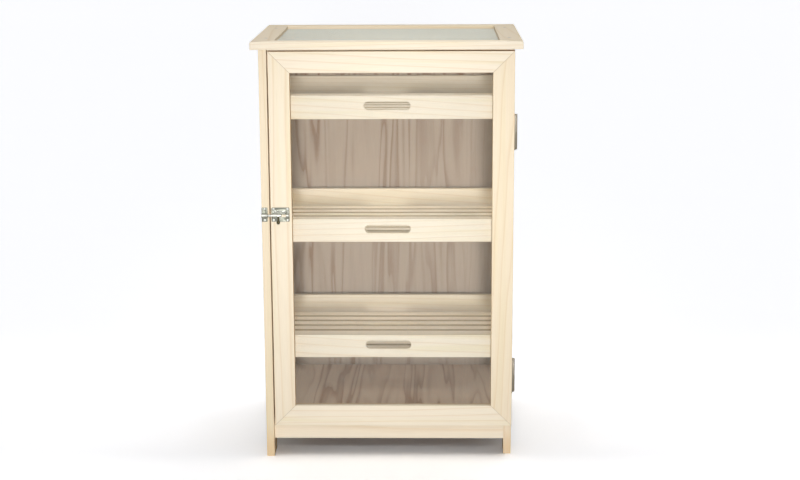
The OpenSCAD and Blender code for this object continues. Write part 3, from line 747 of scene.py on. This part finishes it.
def grain_of(node):
    """The axis that the board's grain runs along, from its name."""
    if node.startswith(("post", "door_stile")) or "beads" in node:
        return "Z"
    if node.startswith("tray"):
        return "Y" if node.endswith(("_left", "_right")) else "X"
    if node.startswith(("side_rail", "runner")) or node in ("top_rail_left", "top_rail_right"):
        return "Y"
    return "X"


def hull(nodes):
    """Lowest and highest corner of several CAD nodes together, in millimetres."""
    boxes = [box_mm(node) for node in nodes]
    return ([min(low[axis] for low, high in boxes) for axis in range(3)],
            [max(high[axis] for low, high in boxes) for axis in range(3)])


# How far each board leans from the cream of the upper door towards a deeper yellow
TONES = {"door_rail_top": 0.0, "top_rail_front": 0.0, "door_stile_left": 0.1, "door_stile_right": 0.25,
         "door_rail_bottom": 0.0, "post_front_left": 0.3, "post_front_right": 0.1, "rail_front_bottom": 0.0,
         "top_rail_left": 0.2, "top_rail_right": 0.2, "top_rail_back": 0.2}
# Painted shade: boards painted darker than the rest, as the shade on the top frame and at the backs of the
# trays
PAINTED_SHADES = {"top_rail_left": 0.74, "top_rail_right": 0.74, "top_rail_back": 0.82, "tray_1_back": 0.7,
          "tray_2_back": 0.96, "tray_3_back": 0.93}
# Painted shade: edges painted darker where they face into gaps and openings between boards, as the shade
# there: the axis that these face, and their colour
GAP_SHADE_EDGES = {"slats": ("Y", "#c4ae88"), "door_stile_left": ("X", "#c0935a"), "door_stile_right": ("X", "#d6b684"),
        "door_rail_top": ("Z", "#a47640")}
MITRED = (("door_stile_left", "door_stile_right", "door_rail_top", "door_rail_bottom"),
          ("top_rail_left", "top_rail_right", "top_rail_front", "top_rail_back"))


def finish_wood():
    """Gives every wooden piece its own cut out of a tree."""
    frames = {node: (hull(boards), axes) for boards, axes in zip(MITRED, ((0, 2), (0, 1))) for node in boards}
    for record in frame["record"]["subparts"]:
        node, slot = record["node"], record["material_slot"]
        piece = NODES[node]
        if slot == "pine":
            pith = (dice.uniform(-70, 70), dice.choice((-1, 1)) * dice.uniform(30, 90))
            tilt = (dice.uniform(-0.6, 0.6), dice.uniform(-0.6, 0.6))
            ring, spread = dice.uniform(7.0, 12.0), dice.uniform(0.0, 0.15)
            finish = pine("pine_planed_" + node, grain_of(node), pith, tilt, ring,
                          tone=0.0 if node.startswith("tray") else TONES.get(node, spread),
                          painted_shade=PAINTED_SHADES.get(node, 1.0),
                          contrast=0.2 if node.endswith(("beads", "slats")) else 1.0,
                          mitre=frames.get(node),
                          foot_shade=FOOT_SHADE_MM if node.startswith("post") else 0.0,
                          sawn=next((edge for end, edge in GAP_SHADE_EDGES.items() if node.endswith(end)), None))
        elif slot == "plywood":
            start = (dice.uniform(0, 50), dice.uniform(0, 500), dice.uniform(0, 500))
            # painted light: the floor panel's sheet is paler than the back panel's, where too little light
            # reaches it
            finish = plywood("plywood_rotary_cut_" + node, *(
                ("Z", start, 1.15) if node == "back_panel" else ("Y", start, 1.75)))
        else:
            continue
        piece.data.materials.clear()
        piece.data.materials.append(finish)


# ---------------------------------------------------------------- studio

LAMPS = (
    # name, from which side, height above the horizon, strength, softness, all in degrees but the strength
    ("front_lamp", 2, 3.2, 1.7, 6),
    ("top_lamp", 180, 86, 1.15, 50),
    ("back_lamp", 150, 30, 0.25, 60),
)
SPOTS = (
    # name, where it stands and what it is aimed at in millimetres, power, cone in degrees; all stay off the
    # floor close to the cabinet, and the last two light the trays' floors through the side screens
    ("front_spot", (40, -2600, 1700), (0, -180, 560), 50.0, 22),
    ("tray_spot", (60, -2400, 1950), (0, 0, 385), 130.0, 15),
    ("left_spot", (-2400, 20, 1400), (0, 20, 480), 120.0, 18),
    ("right_spot", (2400, 20, 1400), (0, 20, 480), 120.0, 18),
)
SPOT_BLEND = 0.8
SPOT_SIZE = 0.3                  # radius of each spot's glowing disc, in metres
SKY = 0.25                       # light from straight above; it falls off towards the horizon
FLOOR_BOUNCE = 0.5
FLOOR_GAIN = (1.6, 1.61, 1.65)   # the floor as the camera sees it: white, and a little cooler in the shadow


def seen_directly(tree):
    """1 for what the camera sees straight, in a mirror or through glass, 0 for light on the object."""
    path = add(tree, "LightPath").outputs
    either = add(tree, "Math", {0: path["Is Camera Ray"], 1: path["Is Glossy Ray"]}, operation="MAXIMUM")
    return add(tree, "Math", {0: either.outputs[0], 1: path["Is Transmission Ray"]},
               operation="MAXIMUM").outputs[0]


def make_studio():
    """Pale floor, white surroundings, three soft lamps and four soft spots."""
    world = bpy.data.worlds.new("studio")
    bpy.context.scene.world = world
    world.use_nodes = True
    tree = world.node_tree
    tree.nodes.clear()
    upwards = add(tree, "SeparateXYZ", {0: add(tree, "TexCoord").outputs["Generated"]}).outputs["Z"]
    dome = add(tree, "MapRange", {"Value": upwards, "To Max": SKY},
               interpolation_type="SMOOTHSTEP").outputs[0]
    strength = add(tree, "Mix", {0: seen_directly(tree), 2: dome, 3: 1.0}, data_type="FLOAT").outputs[0]
    sky = add(tree, "Background", {"Color": (1, 1, 1, 1), "Strength": strength})
    add(tree, "OutputWorld", {"Surface": sky.outputs[0]})

    let_go()
    bpy.ops.mesh.primitive_plane_add(size=80, location=(0, 0, 0))
    floor = settle("studio_floor")
    paper, tree = blank("matt_white_paper")
    white = add(tree, "Mix", {0: seen_directly(tree), 6: (FLOOR_BOUNCE,) * 3 + (1,),
                              7: FLOOR_GAIN + (1,)}, data_type="RGBA").outputs[2]
    finish_surface(tree, add(tree, "BsdfDiffuse", {"Color": white}))
    floor.data.materials.append(paper)

    for name, side, height, strength, softness in LAMPS:
        light = bpy.data.lights.new(name, "SUN")
        light.energy = strength
        light.angle = math.radians(softness)
        lamp = bpy.data.objects.new(name, light)
        bpy.context.scene.collection.objects.link(lamp)
        side, height = math.radians(side), math.radians(height)
        towards = Vector((math.sin(side) * math.cos(height), -math.cos(side) * math.cos(height),
                          math.sin(height)))
        lamp.rotation_euler = towards.to_track_quat("Z", "Y").to_euler()

    for name, place, aim, power, cone in SPOTS:
        light = bpy.data.lights.new(name, "SPOT")
        light.energy = power
        light.spot_size = math.radians(cone)
        light.spot_blend = SPOT_BLEND
        light.shadow_soft_size = SPOT_SIZE
        lamp = bpy.data.objects.new(name, light)
        bpy.context.scene.collection.objects.link(lamp)
        lamp.location = Vector(place) * MM
        lamp.rotation_euler = (Vector(aim) - Vector(place)).to_track_quat("-Z", "Y").to_euler()


def make_camera():
    """Camera at the photograph's viewing angle."""
    data = bpy.data.cameras.new("camera")
    data.lens = CAMERA_LENS
    data.clip_start = 0.05
    data.clip_end = 200
    camera = bpy.data.objects.new("camera", data)
    bpy.context.scene.collection.objects.link(camera)
    camera.location = Vector(CAMERA_AT) * MM
    look = (Vector(CAMERA_AIM) - Vector(CAMERA_AT)).to_track_quat("-Z", "Y")
    camera.rotation_euler = (look @ Quaternion((0, 0, 1), math.radians(CAMERA_ROLL))).to_euler()
    bpy.context.scene.camera = camera
    bpy.context.scene.view_settings.view_transform = "Standard"


make_camera()
make_studio()
finish_wood()
make_screens()
make_plate()
make_keeper()
make_rod()
make_hinges()
make_screws()
let_go()
